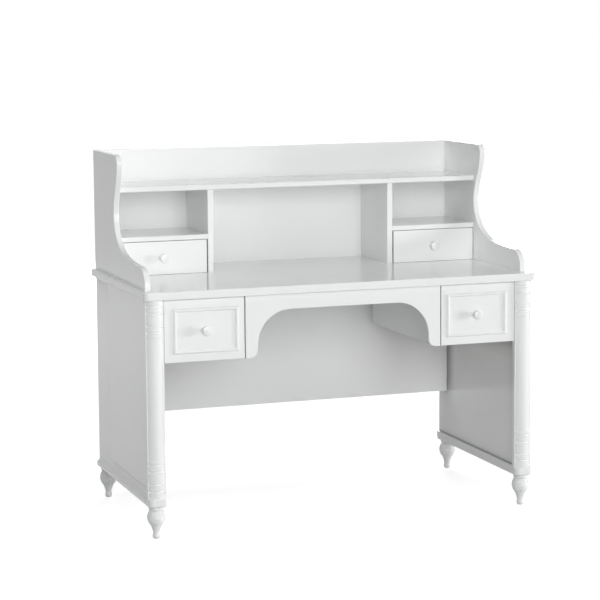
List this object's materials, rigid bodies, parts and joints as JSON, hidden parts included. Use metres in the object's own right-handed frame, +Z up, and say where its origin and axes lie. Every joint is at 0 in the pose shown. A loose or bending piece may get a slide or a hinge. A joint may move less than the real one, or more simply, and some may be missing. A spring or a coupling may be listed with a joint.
{
  "type": "student desk with hutch",
  "caption": "White lacquered writing desk with turned half-round front columns, arched apron and drawers, carrying a scroll-sided hutch with shelves, cubbies and small drawers",
  "frame": {"origin": "on the floor, under the middle of the desktop's plan", "axes": "+X to the sitter's right along the desk, +Y to the back, +Z up"},
  "size_m": [1.28, 0.66, 1.135],
  "materials": {
    "white_lacquered_wood": "satin white lacquer over board and turned hardwood",
    "drawer_box_board": "white melamine-faced board, unpolished",
    "drawer_floor_board": "white-faced hardboard",
    "beech_dowel": "plain fluted beech",
    "zinc_plated_steel": "bright zinc plate"
  },
  "bodies": {
    "desk": {"apron": "white_lacquered_wood", "base_rail_left": "white_lacquered_wood", "base_rail_right": "white_lacquered_wood", "column_left": "white_lacquered_wood", "column_right": "white_lacquered_wood", "desktop": "white_lacquered_wood", "desktop_front_lip": "white_lacquered_wood", "dowels": "beech_dowel", "drawer_partition_left": "white_lacquered_wood", "drawer_partition_right": "white_lacquered_wood", "drawer_runners": "drawer_box_board", "foot_front_left": "white_lacquered_wood", "foot_front_right": "white_lacquered_wood", "foot_rear_left": "white_lacquered_wood", "foot_rear_right": "white_lacquered_wood", "foot_studs": "zinc_plated_steel", "front_post_left": "white_lacquered_wood", "front_post_right": "white_lacquered_wood", "hutch_back": "white_lacquered_wood", "hutch_divider_left": "white_lacquered_wood", "hutch_divider_right": "white_lacquered_wood", "hutch_lower_shelf_left": "white_lacquered_wood", "hutch_lower_shelf_right": "white_lacquered_wood", "hutch_side_left": "white_lacquered_wood", "hutch_side_right": "white_lacquered_wood", "hutch_upper_shelf": "white_lacquered_wood", "modesty_panel": "white_lacquered_wood", "side_core_left": "white_lacquered_wood", "side_core_right": "white_lacquered_wood", "side_cove_left": "white_lacquered_wood", "side_cove_right": "white_lacquered_wood", "side_panel_left": "white_lacquered_wood", "side_panel_right": "white_lacquered_wood"},
    "desk_drawer_left": {"desk_drawer_back_left": "drawer_box_board", "desk_drawer_bead_left": "white_lacquered_wood", "desk_drawer_floor_left": "drawer_floor_board", "desk_drawer_front_left": "white_lacquered_wood", "desk_drawer_inner_side_left": "drawer_box_board", "desk_drawer_knob_left": "white_lacquered_wood", "desk_drawer_outer_side_left": "drawer_box_board"},
    "desk_drawer_right": {"desk_drawer_back_right": "drawer_box_board", "desk_drawer_bead_right": "white_lacquered_wood", "desk_drawer_floor_right": "drawer_floor_board", "desk_drawer_front_right": "white_lacquered_wood", "desk_drawer_inner_side_right": "drawer_box_board", "desk_drawer_knob_right": "white_lacquered_wood", "desk_drawer_outer_side_right": "drawer_box_board"},
    "hutch_drawer_left": {"hutch_drawer_back_left": "drawer_box_board", "hutch_drawer_floor_left": "drawer_floor_board", "hutch_drawer_front_left": "white_lacquered_wood", "hutch_drawer_inner_side_left": "drawer_box_board", "hutch_drawer_knob_left": "white_lacquered_wood", "hutch_drawer_outer_side_left": "drawer_box_board"},
    "hutch_drawer_right": {"hutch_drawer_back_right": "drawer_box_board", "hutch_drawer_floor_right": "drawer_floor_board", "hutch_drawer_front_right": "white_lacquered_wood", "hutch_drawer_inner_side_right": "drawer_box_board", "hutch_drawer_knob_right": "white_lacquered_wood", "hutch_drawer_outer_side_right": "drawer_box_board"}
  },
  "joints": [
    {"name": "desk_drawer_left_slide", "type": "slide", "parent": "desk", "child": "desk_drawer_left", "axis": [0, -1, 0], "range_m": [0, 0.3]},
    {"name": "desk_drawer_right_slide", "type": "slide", "parent": "desk", "child": "desk_drawer_right", "axis": [0, -1, 0], "range_m": [0, 0.3]},
    {"name": "hutch_drawer_left_slide", "type": "slide", "parent": "desk", "child": "hutch_drawer_left", "axis": [0, -1, 0], "range_m": [0, 0.14]},
    {"name": "hutch_drawer_right_slide", "type": "slide", "parent": "desk", "child": "hutch_drawer_right", "axis": [0, -1, 0], "range_m": [0, 0.14]}
  ]
}
